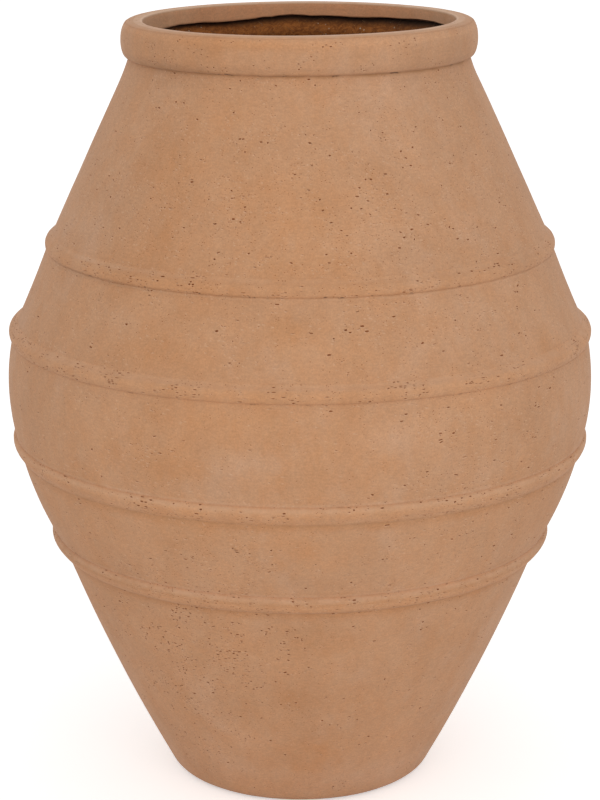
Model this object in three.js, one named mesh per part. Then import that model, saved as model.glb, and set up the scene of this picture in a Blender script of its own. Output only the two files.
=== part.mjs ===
// A tall storage-jar planter in matt terracotta, bare and unglazed.
// Clay rings stand on a round base slab, and each ring laps over the one below it inside the wall.
// A rolled band covers each seam, a heavy collar makes the rim, a fibre lining backs the clay,
// and a rubber bung stops the drain hole in the floor.
// Lengths are in millimetres and +Z is up. The origin is on the ground, under the jar's axis.
// Every thickness of the wall is measured level, so the faces of one wall stay parallel.
import * as THREE from "three";

// Heights of the rings, from the ground to the mouth
const footHeight = 247;
const lowerBellyHeight = 97.5;
const bellyHeight = 115;
const shoulderHeight = 88;
const neckHeight = 180.5;
const collarHeight = 18.7; // from the crease on the neck to the underside of the lip
const lipDepth = 15; // the smooth inner face of the rim

// Outer radii of the bare wall
const girthRadius = 289.9; // the widest, halfway up the belly ring
const bellySeamInset = 8.9; // how much narrower than that the wall is at the seam below
const shoulderSeamInset = 6.5; // and at the seam above
const footRadius = 133.4; // where the rounding under the foot ends
const footSeamRadius = 241.6;
const neckSeamRadius = 246.5;
const creaseRadius = 163; // top of the neck, under the collar

// How far the other rings swell out of the straight line between their ends, or less than 0
// where they are hollow
const footSwell = 4.3;
const lowerBellySwell = 4;
const shoulderSwell = -1;
const neckSwell = 0.5;

// Wall
const wallThickness = 9;
const lapHeight = 8; // how far the inner half of a ring stands up inside the next ring
const liningThickness = 3;
const clearance = 0.3; // slip gap between pieces that touch

// Base slab
const footRounding = 21.1;
const restingRingWidth = 19;
const recessDepth = 6; // hollow under the slab, inside the resting ring
const slabThickness = 12;
const drainHoleRadius = 16;

// Rim
const collarOverhang = 9.2; // how far the collar stands out of the top of the neck
const landWidth = 20.7; // from the outside of the collar to the mouth
const collarTopRounding = 9.2;
const collarUnderRounding = 5.7;
const mouthRounding = 2;

// Bands, each a clay roll pressed on a seam: radius of the roll, and how far it stands proud
const footBand = { roll: 13.8, proud: 6.1 };
const bellyBand = { roll: 12.5, proud: 4.1 };
const shoulderBand = { roll: 7.7, proud: 5.1 };
const neckBand = { roll: 8, proud: 3.9 };

// Drain bung
const bungFlangeRadius = 25;
const bungFlangeThickness = 4;
const bungTaper = 1; // how much thinner the stem is at its foot
const bungInset = 1.5; // how far the stem ends above the underside of the slab
const bungGripRadius = 8;
const bungGripHeight = 13;
const bungEdge = 1.2;

// Fineness of the facets
const ringSides = 48;
const bungSides = 24;
const faceTolerance = 0.5; // a curved face may leave its true arc by this much
const leastStep = 0.5; // heights closer than this share one row of corners
const roundingSteps = 4;
const mouthSteps = 2;
const rollSteps = 7;

const toRadians = Math.PI / 180;
const quarterTurn = 90 * toRadians;

// Points [radius, height] from low to high, on an arc that swells sideways by the given amount
function arcBetween(low, high, swell) {
  if (swell === 0) return [low, high];
  const [dr, dz] = [high[0] - low[0], high[1] - low[1]];
  const length = Math.hypot(dr, dz);
  const steps = Math.max(1, Math.ceil(Math.sqrt(Math.abs(swell) / faceTolerance)));
  const bend = 4 * Math.atan((2 * swell) / length); // the angle that the arc turns through
  const points = [];
  for (let i = 0; i <= steps; i++) {
    const turn = bend * (i / steps - 0.5);
    const radius = length / 2 / Math.sin(bend / 2);
    const along = 0.5 + (radius * Math.sin(turn)) / length;
    const out = radius * (Math.cos(turn) - Math.cos(bend / 2));
    points.push([
      low[0] + dr * along + (dz / length) * out,
      low[1] + dz * along - (dr / length) * out,
    ]);
  }
  return points;
}

// Points on a circle's arc between two angles, in degrees from straight out, up being positive
function roundBetween(centre, radius, fromAngle, toAngle, steps) {
  const points = [];
  for (let i = 0; i <= steps; i++) {
    const angle = (fromAngle + ((toAngle - fromAngle) * i) / steps) * toRadians;
    points.push([centre[0] + radius * Math.cos(angle), centre[1] + radius * Math.sin(angle)]);
  }
  return points;
}

// The belly's seams follow its girth, and it swells from them to the girth
const bellySeamRadius = girthRadius - bellySeamInset;
const shoulderSeamRadius = girthRadius - shoulderSeamInset;
const bellySwell = (bellySeamInset + shoulderSeamInset) / 2;

// Heights of the seams
const footSeam = footHeight;
const bellySeam = footSeam + lowerBellyHeight;
const shoulderSeam = bellySeam + bellyHeight;
const neckSeam = shoulderSeam + shoulderHeight;
const crease = neckSeam + neckHeight;
const lipUnderside = crease + collarHeight;
const rimTop = lipUnderside + lipDepth;

// The rounding under the foot is tangent to the ground and to the foot wall, so its end is found
// by turning it until it has the slope of the wall
let footSlope = 0;
let footEnd = footRounding;
const turns = 12; // far more than it takes to settle
for (let turn = 0; turn < turns; turn++) {
  const rise = footSeam - footEnd;
  const run = footSeamRadius - footRadius;
  const chord = Math.hypot(rise, run);
  footSlope = Math.atan2(run, rise) + 2 * Math.atan((2 * footSwell) / chord);
  footEnd = footRounding * (1 - Math.sin(footSlope));
}
const flatRadius = footRadius - footRounding * Math.cos(footSlope);

// The outside of the bare wall as one line, with a straight stretch hidden in the collar
const wallLine = [
  ...arcBetween([footRadius, footEnd], [footSeamRadius, footSeam], footSwell),
  ...arcBetween([footSeamRadius, footSeam], [bellySeamRadius, bellySeam], lowerBellySwell),
  ...arcBetween([bellySeamRadius, bellySeam], [shoulderSeamRadius, shoulderSeam], bellySwell),
  ...arcBetween([shoulderSeamRadius, shoulderSeam], [neckSeamRadius, neckSeam], shoulderSwell),
  ...arcBetween([neckSeamRadius, neckSeam], [creaseRadius, crease], neckSwell),
  [creaseRadius, rimTop],
];

// Outer radius of the bare wall at a height
function radiusAt(height) {
  const above = wallLine.findIndex((point) => point[1] > height);
  const top = above < 0 ? wallLine.length - 1 : Math.max(above, 1);
  const [low, high] = [wallLine[top - 1], wallLine[top]];
  const share = (height - low[1]) / (high[1] - low[1]);
  return low[0] + share * (high[0] - low[0]);
}

// A face of the wall from one height up to another, the given depth inside the outer face
function wallFace(depth, from, to) {
  const corners = wallLine.map((point) => point[1]);
  const between = corners.filter((z) => z > from + leastStep && z < to - leastStep);
  const heights = [from, ...new Set(between), to];
  return heights.map((height) => [radiusAt(height) - depth, height]);
}

// A solid of revolution from a closed outline, drawn up the outside and down the inside
function turned(outline, sides) {
  const points = [...outline, outline[0]].map(([r, z]) => new THREE.Vector2(r, z));
  return new THREE.LatheGeometry(points, sides).rotateX(quarterTurn);
}

// Finishes
const clayColour = "#b98a66";
const bandColour = "#c0906a";
const fibreColour = "#7a4a22";
const rubberColour = "#2b2a28";
const clay = () => new THREE.MeshStandardMaterial({ color: clayColour, roughness: 0.92, metalness: 0 });
const bandClay = () => new THREE.MeshStandardMaterial({ color: bandColour, roughness: 0.92, metalness: 0 });
const fibre = () => new THREE.MeshStandardMaterial({ color: fibreColour, roughness: 1, metalness: 0 });
const rubber = () => new THREE.MeshStandardMaterial({ color: rubberColour, roughness: 0.6, metalness: 0 });

function piece(name, geometry, material) {
  const mesh = new THREE.Mesh(geometry, material);
  mesh.name = name;
  return mesh;
}

// The middle of the wall's thickness is the slip face of every lap
const halfGap = clearance / 2;
const lapOuter = wallThickness / 2 - halfGap; // depth of the socket's face
const lapInner = wallThickness / 2 + halfGap; // depth of the tongue's face

// A ring of the wall from one seam to the next: its outer half ends at the upper seam, and its
// inner half goes on as a tongue into the ring above. The lowest ring has no socket at its foot.
function wallRing(lowSeam, highSeam, hasSocket) {
  const bottom = lowSeam + halfGap;
  const shoulder = highSeam - halfGap;
  const tongueTop = highSeam + lapHeight;
  const socketTop = lowSeam + lapHeight + clearance;
  const foot = hasSocket
    ? [
        ...wallFace(wallThickness, socketTop, tongueTop).reverse(),
        ...wallFace(lapOuter, bottom, socketTop).reverse(),
      ]
    : wallFace(wallThickness, bottom, tongueTop).reverse();
  const outline = [
    ...wallFace(0, bottom, shoulder),
    ...wallFace(lapInner, shoulder, tongueTop),
    ...foot,
  ];
  return turned(outline, ringSides);
}

// The base slab: a disc with a rounded edge, a shelf that carries the foot wall, a boss that
// centres it, a shallow recess inside the resting ring and the drain hole
const slabTop = recessDepth + slabThickness;
function baseSlab() {
  const edgeAngle = footSlope / toRadians;
  const bossRadius = footRadius - wallThickness - clearance;
  const shelf = footEnd - halfGap;
  const roundCentre = [flatRadius, footRounding];
  return turned(
    [
      [flatRadius - restingRingWidth, 0],
      ...roundBetween(roundCentre, footRounding, -90, -edgeAngle, roundingSteps).slice(0, -1),
      [footRadius - halfGap * Math.tan(footSlope), shelf],
      [bossRadius, shelf],
      [bossRadius, slabTop],
      [drainHoleRadius, slabTop],
      [drainHoleRadius, recessDepth],
      [flatRadius - restingRingWidth - recessDepth, recessDepth],
    ],
    ringSides,
  );
}

// The rim: a collar round the neck's tongue, with a flat land on top and a lip that hangs inside
const collarRadius = creaseRadius + collarOverhang;
const mouthRadius = collarRadius - landWidth;
const collarInside = collarRadius - wallThickness;
const tongueTop = crease + lapHeight;
const flareTop = (tongueTop + lipUnderside) / 2; // where the hollow behind the lip is widest
function rimCollar() {
  const underside = crease + halfGap;
  const underCentre = [collarRadius - collarUnderRounding, underside + collarUnderRounding];
  const topCentre = [collarRadius - collarTopRounding, rimTop - collarTopRounding];
  const mouthCentre = [mouthRadius + mouthRounding, rimTop - mouthRounding];
  return turned(
    [
      [creaseRadius - lapOuter, underside],
      ...roundBetween(underCentre, collarUnderRounding, -90, 0, roundingSteps),
      ...roundBetween(topCentre, collarTopRounding, 0, 90, roundingSteps),
      ...roundBetween(mouthCentre, mouthRounding, 90, 180, mouthSteps),
      [mouthRadius, lipUnderside],
      [collarInside, lipUnderside],
      [collarInside, flareTop],
      [creaseRadius - lapOuter, tongueTop],
    ],
    ringSides,
  );
}

// A band: a roll of clay whose axis lies on the seam's own normal, inside the wall, so that only
// its outer part shows. Its back follows the wall a slip gap away.
function rolledBand(seam, { roll, proud }) {
  const lean = Math.atan2(radiusAt(seam - roll) - radiusAt(seam + roll), 2 * roll);
  const depth = roll - proud;
  const centre = [radiusAt(seam) - depth * Math.cos(lean), seam - depth * Math.sin(lean)];
  const standsOut = (angle) => {
    const height = centre[1] + roll * Math.sin(angle);
    return centre[0] + roll * Math.cos(angle) > radiusAt(height) + clearance;
  };
  // The angle, from the lean towards the given side, at which the roll dips into the wall
  const halvings = 40;
  const edgeAngle = (side) => {
    let [shown, hidden] = [0, quarterTurn];
    for (let halving = 0; halving < halvings; halving++) {
      const middle = (shown + hidden) / 2;
      if (standsOut(lean + side * middle)) shown = middle;
      else hidden = middle;
    }
    return lean + side * shown;
  };
  const [lowAngle, highAngle] = [edgeAngle(-1) / toRadians, edgeAngle(1) / toRadians];
  const front = roundBetween(centre, roll, lowAngle, highAngle, rollSteps);
  const [lowEdge, highEdge] = [front[0][1], front[front.length - 1][1]];
  const back = wallFace(-clearance, lowEdge, highEdge).slice(1, -1).reverse();
  return turned([...front, ...back], ringSides);
}

// The lining: a disc on the slab, then mats up the wall, butted at heights between the seams.
// The top mat runs out over the neck's tongue and ends behind the lip.
const liningOuter = wallThickness + clearance;
const liningInner = liningOuter + liningThickness;
const floorLiningBottom = slabTop + clearance;
const floorTop = floorLiningBottom + liningThickness;
const lowMatJoint = (footSeam + bellySeam) / 2;
const highMatJoint = (shoulderSeam + neckSeam) / 2;
function floorLining() {
  const edge = radiusAt(floorLiningBottom) - liningOuter;
  return turned(
    [
      [drainHoleRadius, floorLiningBottom],
      [edge, floorLiningBottom],
      [edge, floorTop],
      [drainHoleRadius, floorTop],
    ],
    ringSides,
  );
}
function wallLining(from, to) {
  const outside = wallFace(liningOuter, from + halfGap, to - halfGap);
  const inside = wallFace(liningInner, from + halfGap, to - halfGap).reverse();
  return turned([...outside, ...inside], ringSides);
}
function neckLining() {
  const from = highMatJoint + halfGap;
  const overTongue = tongueTop + clearance;
  const top = lipUnderside - clearance;
  const flareEnd = (flareTop + top) / 2;
  const outside = [
    ...wallFace(liningOuter, from, overTongue),
    [collarInside - clearance, flareEnd],
    [collarInside - clearance, top],
  ];
  const inside = [
    [collarInside - clearance - liningThickness, top],
    [collarInside - clearance - liningThickness, flareEnd],
    ...wallFace(liningInner, from, overTongue).reverse(),
  ];
  return turned([...outside, ...inside], ringSides);
}

// The bung, drawn about its own seat: the underside of its flange is at height 0
const bungSeat = floorTop + clearance;
function drainBung() {
  const stemRadius = drainHoleRadius - clearance;
  const stemLength = bungSeat - recessDepth - bungInset;
  const gripTop = bungFlangeThickness + bungGripHeight;
  return turned(
    [
      [0, -stemLength],
      [stemRadius - bungTaper, -stemLength],
      [stemRadius, 0],
      [bungFlangeRadius, 0],
      [bungFlangeRadius, bungFlangeThickness - bungEdge],
      [bungFlangeRadius - bungEdge, bungFlangeThickness],
      [bungGripRadius, bungFlangeThickness],
      [bungGripRadius, gripTop - bungEdge],
      [bungGripRadius - bungEdge, gripTop],
      [0, gripTop],
    ],
    bungSides,
  );
}

const jar = new THREE.Group();

const clayBody = new THREE.Group();
clayBody.add(
  piece("base_slab", baseSlab(), clay()),
  piece("foot_wall", wallRing(footEnd, footSeam, false), clay()),
  piece("lower_belly_wall", wallRing(footSeam, bellySeam, true), clay()),
  piece("belly_wall", wallRing(bellySeam, shoulderSeam, true), clay()),
  piece("shoulder_wall", wallRing(shoulderSeam, neckSeam, true), clay()),
  piece("neck_wall", wallRing(neckSeam, crease, true), clay()),
  piece("rim_collar", rimCollar(), bandClay()),
);

const bands = new THREE.Group();
bands.add(
  piece("foot_band", rolledBand(footSeam, footBand), bandClay()),
  piece("belly_band", rolledBand(bellySeam, bellyBand), bandClay()),
  piece("shoulder_band", rolledBand(shoulderSeam, shoulderBand), bandClay()),
  piece("neck_band", rolledBand(neckSeam, neckBand), bandClay()),
);

const lining = new THREE.Group();
lining.add(
  piece("floor_lining", floorLining(), fibre()),
  piece("foot_lining", wallLining(floorTop, lowMatJoint), fibre()),
  piece("belly_lining", wallLining(lowMatJoint, highMatJoint), fibre()),
  piece("neck_lining", neckLining(), fibre()),
);

const bung = piece("drain_bung", drainBung(), rubber());
bung.position.z = bungSeat;

jar.add(clayBody, bands, lining, bung);

export default jar;
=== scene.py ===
import math
import random

import bpy
import numpy as np
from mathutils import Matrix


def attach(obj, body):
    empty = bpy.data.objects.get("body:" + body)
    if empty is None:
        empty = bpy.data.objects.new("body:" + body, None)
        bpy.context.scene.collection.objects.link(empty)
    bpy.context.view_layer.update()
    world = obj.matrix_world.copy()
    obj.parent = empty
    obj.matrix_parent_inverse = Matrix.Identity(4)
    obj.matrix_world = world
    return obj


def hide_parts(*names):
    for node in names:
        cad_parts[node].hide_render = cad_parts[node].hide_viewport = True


# Clay jar with a collar rim, four rolled bands over its seams and a fibre lining, in a soft studio.
# Radii and heights are in mm from the jar's axis and the floor; scene units are metres.
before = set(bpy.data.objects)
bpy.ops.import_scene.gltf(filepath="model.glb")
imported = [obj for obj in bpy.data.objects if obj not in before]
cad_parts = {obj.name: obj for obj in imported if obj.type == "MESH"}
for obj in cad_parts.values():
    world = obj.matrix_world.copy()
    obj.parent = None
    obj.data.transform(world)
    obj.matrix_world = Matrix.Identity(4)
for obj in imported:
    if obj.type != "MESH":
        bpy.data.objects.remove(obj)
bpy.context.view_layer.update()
print("frame loaded with", len(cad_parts), "solids")

mm = 0.001


# Node helpers work in the tree that was begun last. A value is a number, a socket, or a node that stands
# for its first output.
begun = {"tree": None}


def feed(node, inputs):
    for key, value in inputs.items():
        if isinstance(value, bpy.types.Node):
            value = value.outputs[0]
        if isinstance(value, bpy.types.NodeSocket):
            begun["tree"].links.new(value, node.inputs[key])
        else:
            node.inputs[key].default_value = value
    return node


def add(kind, inputs=None, **settings):
    node = begun["tree"].nodes.new(kind)
    for name, value in settings.items():
        setattr(node, name, value)
    return feed(node, inputs or {})


def begin(owner):
    # empties the tree of a material or world and works in it
    owner.use_nodes = True
    begun["tree"] = owner.node_tree
    owner.node_tree.nodes.clear()
    return owner


def newTree(name, kind, inputs, outputs):
    tree = begun["tree"] = bpy.data.node_groups.new(name, kind + "NodeTree")
    for side, rows in (("INPUT", inputs), ("OUTPUT", outputs)):
        for label, sort, *value in rows:
            made = tree.interface.new_socket(label, in_out=side, socket_type="NodeSocket" + sort)
            if value:
                made.default_value = value[0]
    return add("NodeGroupInput").outputs


def finishTree(results):
    add("NodeGroupOutput", results)
    return begun["tree"]


def calc(operation, *values, clamp=False):
    inputs = dict(enumerate(values))
    return add("ShaderNodeMath", inputs, operation=operation, use_clamp=clamp).outputs[0]


def times(first, *others, clamp=False):
    for value in others:
        first = calc("MULTIPLY", first, value, clamp=clamp)
    return first


def vectorCalc(operation, *values, out=0):
    keys = (0, 3) if operation == "SCALE" else (0, 1)
    return add("ShaderNodeVectorMath", dict(zip(keys, values)), operation=operation).outputs[out]


def vector(x=0.0, y=0.0, z=0.0):
    return add("ShaderNodeCombineXYZ", {0: x, 1: y, 2: z})


def axes(place):
    return list(add("ShaderNodeSeparateXYZ", {0: place}).outputs)


def noise(place, scale, detail=2.0, roughness=0.5):
    inputs = {"Vector": place, "Scale": scale, "Detail": detail, "Roughness": roughness}
    return add("ShaderNodeTexNoise", inputs).outputs["Fac"]


def swing(place, *settings, middle=0.5):
    # noise that goes below zero as well as above it
    return calc("SUBTRACT", noise(place, *settings), middle)


def ramp(value, low, high, toLow=0.0, toHigh=1.0):
    inputs = {"Value": value, "From Min": low, "From Max": high, "To Min": toLow, "To Max": toHigh}
    return add("ShaderNodeMapRange", inputs, interpolation_type="SMOOTHSTEP").outputs["Result"]


def field(place, scale, detail, roughness, *span):
    # noise read over one range and given as another
    return ramp(noise(place, scale, detail, roughness), *span)


def mixColour(share, low, high, kind="MIX"):
    return add("ShaderNodeMix", {0: share, 6: low, 7: high}, data_type="RGBA", blend_type=kind).outputs[2]


def inShader():
    return begun["tree"].bl_idname == "ShaderNodeTree"


def painted(name):
    if inShader():
        return add("ShaderNodeAttribute", attribute_name=name).outputs["Fac"]
    return add("GeometryNodeInputNamedAttribute", {"Name": name}, data_type="FLOAT").outputs[0]


def position():
    if inShader():
        return add("ShaderNodeTexCoord").outputs["Object"]
    return add("GeometryNodeInputPosition").outputs[0]


def roll(seed, low=0.0, high=1.0):
    return add("FunctionNodeRandomValue", {2: low, 3: high, "Seed": seed}, data_type="FLOAT").outputs[1]


def scatter(points, collection, inputs):
    parts = add("GeometryNodeCollectionInfo",
                {"Collection": collection, "Separate Children": True, "Reset Children": True})
    inputs = {"Points": points, "Instance": parts, "Pick Instance": True, **inputs}
    return add("GeometryNodeInstanceOnPoints", inputs)


def join(*parts):
    whole = add("GeometryNodeJoinGeometry")
    for part in parts:
        feed(whole, {0: part})
    return whole


def moved(geometry, offset):
    return add("GeometryNodeSetPosition", {"Geometry": geometry, "Offset": offset})


def smoothed(geometry, crispFrom):
    smooth = add("GeometryNodeSetShadeSmooth", {"Geometry": geometry, "Shade Smooth": True})
    angle = add("GeometryNodeInputMeshEdgeAngle").outputs["Unsigned Angle"]
    crisp = calc("GREATER_THAN", angle, math.radians(crispFrom))
    return add("GeometryNodeSetShadeSmooth",
               {"Geometry": smooth, "Selection": crisp, "Shade Smooth": False}, domain="EDGE")


def coated(geometry, finish, inputs=None):
    real = add("GeometryNodeRealizeInstances", {"Geometry": geometry})
    return add("GeometryNodeSetMaterial", {"Geometry": real, "Material": finish, **(inputs or {})})


# Mesh helpers
def placed(name, data):
    thing = bpy.data.objects.new(name, data)
    bpy.context.scene.collection.objects.link(thing)
    return thing


def newMesh(name, points, edges, faces):
    mesh = bpy.data.meshes.new(name)
    mesh.from_pydata(points, edges, faces)
    return mesh


def corners(mesh):
    co = np.zeros(len(mesh.vertices) * 3)
    mesh.vertices.foreach_get("co", co)
    return co.reshape(-1, 3)


def store(mesh, name, values):
    layer = mesh.attributes.get(name) or mesh.attributes.new(name, "FLOAT", "POINT")
    layer.data.foreach_set("value", np.asarray(values, np.float32))


def dropEmptySlots(mesh):
    slots = list(mesh.materials)
    used = [material for material in slots if material]
    if len(used) in (0, len(slots)):
        return
    index = np.zeros(len(mesh.polygons), np.int32)
    mesh.polygons.foreach_get("material_index", index)
    order = np.array([used.index(material) if material else 0 for material in slots], np.int32)
    mesh.materials.clear()
    for material in used:
        mesh.materials.append(material)
    mesh.polygons.foreach_set("material_index", order[index])


def runTree(piece, tree, values):
    # runs a geometry tree on the piece and keeps what it makes as the piece's plain mesh
    modifier = piece.modifiers.new(tree.name, "NODES")
    modifier.node_group = tree
    for item in tree.interface.items_tree:
        if item.item_type == "SOCKET" and item.in_out == "INPUT" and item.name in values:
            modifier[item.identifier] = values[item.name]
    bpy.context.view_layer.update()
    graph = bpy.context.evaluated_depsgraph_get()
    made = bpy.data.meshes.new_from_object(
        piece.evaluated_get(graph), preserve_all_data_layers=True, depsgraph=graph)
    made.name = piece.name
    dropEmptySlots(made)
    old = piece.data
    piece.modifiers.clear()
    piece.data = made
    bpy.data.meshes.remove(old)


# The jar's bare wall, from the base slab up to the collar
wall = {
    "ends": [(133.4, 11.06), (241.6, 247), (281, 344.5), (283.4, 459.5), (246.5, 547.5), (163, 728)],
    "swells": [4.3, 4.0, 7.7, -1.0, 0.5],  # how far each stretch between two ends curves out
    "arcSteps": 200, "collarTop": 762.0,
    "thickness": 9.0, "lap": 8.0, "play": 0.15,
    "flare": 2.0, "flareFrom": 704.0,  # the neck widens a little under the collar
    "rowStep": 2.2, "hiddenStep": 20, "sides": 420, "drift": 4.5 * mm,
}


def arcPoints(low, high, swell, count):
    run, rise = high[0] - low[0], high[1] - low[1]
    length = math.hypot(run, rise)
    bend = 4 * math.atan(2 * swell / length)
    radius = length / 2 / math.sin(bend / 2)
    points = []
    for i in range(count):
        turn = bend * (i / count - 0.5)
        along = 0.5 + radius * math.sin(turn) / length
        out = radius * (math.cos(turn) - math.cos(bend / 2))
        points.append((low[0] + run * along + rise / length * out,
                       low[1] + rise * along - run / length * out))
    return points


def wallTable():
    ends = wall["ends"]
    points = []
    for low, high, swell in zip(ends, ends[1:], wall["swells"]):
        points += arcPoints(low, high, swell, wall["arcSteps"])
    return np.array(points + [ends[-1], (ends[-1][0], wall["collarTop"])])


wallLine = wallTable()


def radiusAt(height, depth=0.0):
    return float(np.interp(height, wallLine[:, 1], wallLine[:, 0])) - depth


def flare(height):
    share = (height - wall["flareFrom"]) / (wall["ends"][-1][1] - wall["flareFrom"])
    return wall["flare"] * max(0.0, share) ** 2


def face(depth, low, high, step, skin=0.0):
    count = max(1, round(abs(high - low) / step))
    heights = [low + (high - low) * i / count for i in range(count + 1)]
    return [(radiusAt(height, depth) + (0 if depth else flare(height)), height, skin) for height in heights]


def between(start, end, share):
    return tuple(a + (b - a) * share for a, b in zip(start[:2], end[:2]))


def stretch(start, end, step, skin):
    count = max(1, round(math.dist(start, end) / step))
    return [between(start, end, i / count) + (skin,) for i in range(count + 1)]


def roundPoints(centre, radius, fromAngle, toAngle, steps, skin):
    points = []
    for i in range(steps + 1):
        angle = math.radians(fromAngle + (toAngle - fromAngle) * i / steps)
        points.append((centre[0] + radius * math.cos(angle), centre[1] + radius * math.sin(angle), skin))
    return points


def smoothLine(points, step):
    fine = []
    count = len(points)
    for i in range(count - 1):
        before, start = points[max(i - 1, 0)], points[i]
        end, after = points[i + 1], points[min(i + 2, count - 1)]
        pieces = max(1, round(math.dist(start, end) / step))
        for k in range(pieces):
            t = k / pieces
            fine.append(tuple(
                b + 0.5 * t * (c - a + t * (2 * a - 5 * b + 4 * c - d + t * (3 * b - a - 3 * c + d)))
                for a, b, c, d in zip(before, start, end, after)))
    return fine + [points[-1]]


# Turned shapes: an outline of rows (radius, height, skin, lip, painted highlight above zero and painted
# shade below it, inside) goes round the jar's axis
turning = {"weld": 0.002 * mm, "path": 1.0}


def makeTurnTree():
    given = newTree("turnOutline", "Geometry", [("Outline", "Geometry"), ("Sides", "Int", 480),
                                                ("Finish", "Material")], [("Ring", "Geometry")])
    shifted = add("GeometryNodeTransform",
                  {"Geometry": given["Outline"], "Translation": (-turning["path"], 0, 0)})
    profile = add("GeometryNodeMeshToCurve", {"Mesh": shifted})
    path = add("GeometryNodeCurvePrimitiveCircle",
               {"Resolution": given["Sides"], "Radius": turning["path"]})
    ring = add("GeometryNodeCurveToMesh", {"Curve": path, "Profile Curve": profile})
    closed = add("GeometryNodeMergeByDistance", {"Geometry": ring, "Distance": turning["weld"]})
    return finishTree({"Ring": coated(closed, given["Finish"])})


turnTree = makeTurnTree()


def outwards(mesh):
    # a closed mesh that is inside out has a negative volume
    mesh.calc_loop_triangles()
    co = corners(mesh)
    index = np.zeros(len(mesh.loop_triangles) * 3, int)
    mesh.loop_triangles.foreach_get("vertices", index)
    a, b, c = (co[index[k::3]] for k in range(3))
    if np.einsum("ij,ij->i", a, np.cross(b, c)).sum() < 0:
        mesh.flip_normals()


def turned(name, outline, sides, finish, isRing=True):
    count = len(outline)
    edges = [(i, (i + 1) % count) for i in range(count if isRing else count - 1)]
    # the profile's Y becomes the ring's -Z
    mesh = newMesh(name, [(row[0] * mm, -row[1] * mm, 0) for row in outline], edges, [])
    for at, layer in enumerate(("skin", "lip", "wear", "inside"), 2):
        store(mesh, layer, [row[at] if len(row) > at else 0.0 for row in outline])
    piece = placed(name, mesh)
    runTree(piece, turnTree, {"Sides": sides, "Finish": finish})
    outwards(piece.data)
    return piece


# Soft dabs painted on a mesh by azimuth (degrees, 0 in front, + to the right) and height
def polar(mesh):
    x, y, z = corners(mesh).T
    return np.degrees(np.arctan2(x, -y)), z / mm


def paint(mesh, name, dabs, base):
    azimuth, height = polar(mesh)
    total = np.full(len(azimuth), float(base))
    for at, z, wide, tall, amount in dabs:
        apart = (azimuth - at + 180) % 360 - 180
        total += amount * np.exp(-((apart / wide) ** 2 + ((height - z) / tall) ** 2))
    store(mesh, name, total)


# Pits: small hollows with a sharp brim, stamped into single faces of the skin. Stamps are made for a
# face of one by one, and the smallest keep a plain brim.
pits = {
    "stamps": 80, "seed": 4, "brimSides": 8, "plainSides": 4, "plainBelow": 0.06,
    "smallest": 0.09, "largest": 0.46, "growth": 3.0, "narrow": 0.62,
    "tallness": (0.8, 1.05), "flattened": (1.0, 0.9, 0.65), "widened": (1.0, 1.25, 1.5, 1.9, 2.6, 3.6),
    "room": 0.47, "wobble": (0.84, 1.1), "brimLight": 0.7, "palest": 0.34,
    "rings": ((1.0, 0.0), (0.78, 0.6)), "bottom": 0.95,  # share of the size and depth of each ring
    "clumps": (42.0, 3.0, 0.6, 0.46, 0.61, 0.05, 3.3), "mostFaces": 0.3,
    "skinFrom": 0.99, "narrowestFace": 1.0 * mm, "weld": 0.03 * mm,
    "slideScale": 170.0, "slide": 6.0 * mm, "climbScale": 120.0, "climbAt": (0.31, 0.12, 0.53),
    "crispFrom": 38,
}


def makePitStamps():
    chance = random.Random(pits["seed"])
    stamps = bpy.data.collections.new("pitStamps")
    room, largest = pits["room"], pits["largest"]
    for number in range(pits["stamps"]):
        share = (number / (pits["stamps"] - 1)) ** pits["growth"]
        sides = pits["brimSides"] if share > pits["plainBelow"] else pits["plainSides"]
        reach = pits["smallest"] + (largest - pits["smallest"]) * share
        tall = min(largest, reach * chance.uniform(*pits["tallness"]) * chance.choice(pits["flattened"]))
        wide = min(largest, reach * pits["narrow"] * chance.choice(pits["widened"]))
        across = chance.uniform(-1, 1) * (room - wide)
        up = chance.uniform(-1, 1) * (room - tall)
        turn = chance.uniform(0, 1)
        points = [(-0.5, -0.5, 0), (0.5, -0.5, 0), (0.5, 0.5, 0), (-0.5, 0.5, 0)]
        depths = [0.0] * 4
        # dark is how deep the painted shade inside the pit goes, more for the larger stamps
        dark = pits["palest"] + (1 - pits["palest"]) * share
        wobble = [chance.uniform(*pits["wobble"]) for side in range(sides)]
        for scale, depth in pits["rings"]:
            for side in range(sides):
                angle = (side + turn * 0.5) / sides * math.tau - math.tau * 3 / 8
                points.append((across + wide * scale * wobble[side] * math.cos(angle),
                               up + tall * scale * wobble[side] * math.sin(angle), -depth * tall))
                # the lower brim stays pale, as the light from above falls on it
                depths.append(dark if depth else -pits["brimLight"] * max(0.0, -math.sin(angle)))
        points.append((across, up, -pits["bottom"] * tall))
        depths.append(dark)
        quarter = sides // 4
        faces = []
        for corner in range(4):
            for k in range(quarter):
                side = corner * quarter + k
                faces.append((corner, 4 + (side + 1) % sides, 4 + side))
            side = (corner + 1) * quarter
            faces.append((corner, (corner + 1) % 4, 4 + side % sides))
        for side in range(sides):
            after = (side + 1) % sides
            faces.append((4 + side, 4 + after, 4 + sides + after, 4 + sides + side))
            faces.append((4 + sides + side, 4 + sides + after, 4 + 2 * sides))
        mesh = newMesh(f"pitStamp{number:02d}", points, [], faces)
        # the pit layer is painted shade inside the pit and, below zero, painted highlight on its lower brim
        store(mesh, "pit", depths)
        stamps.objects.link(bpy.data.objects.new(mesh.name, mesh))
    return stamps


pitStamps = makePitStamps()
# What the pit tree takes in, and the tree round it as well
pitInputs = [
    ("Clay", "Geometry"), ("Sides", "Int", 480), ("Share", "Float", 1.0), ("Smallness", "Float", 2.0),
    ("Stamps", "Collection"), ("Seed", "Int", 1), ("Drift", "Float", 0.0),
]


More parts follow.
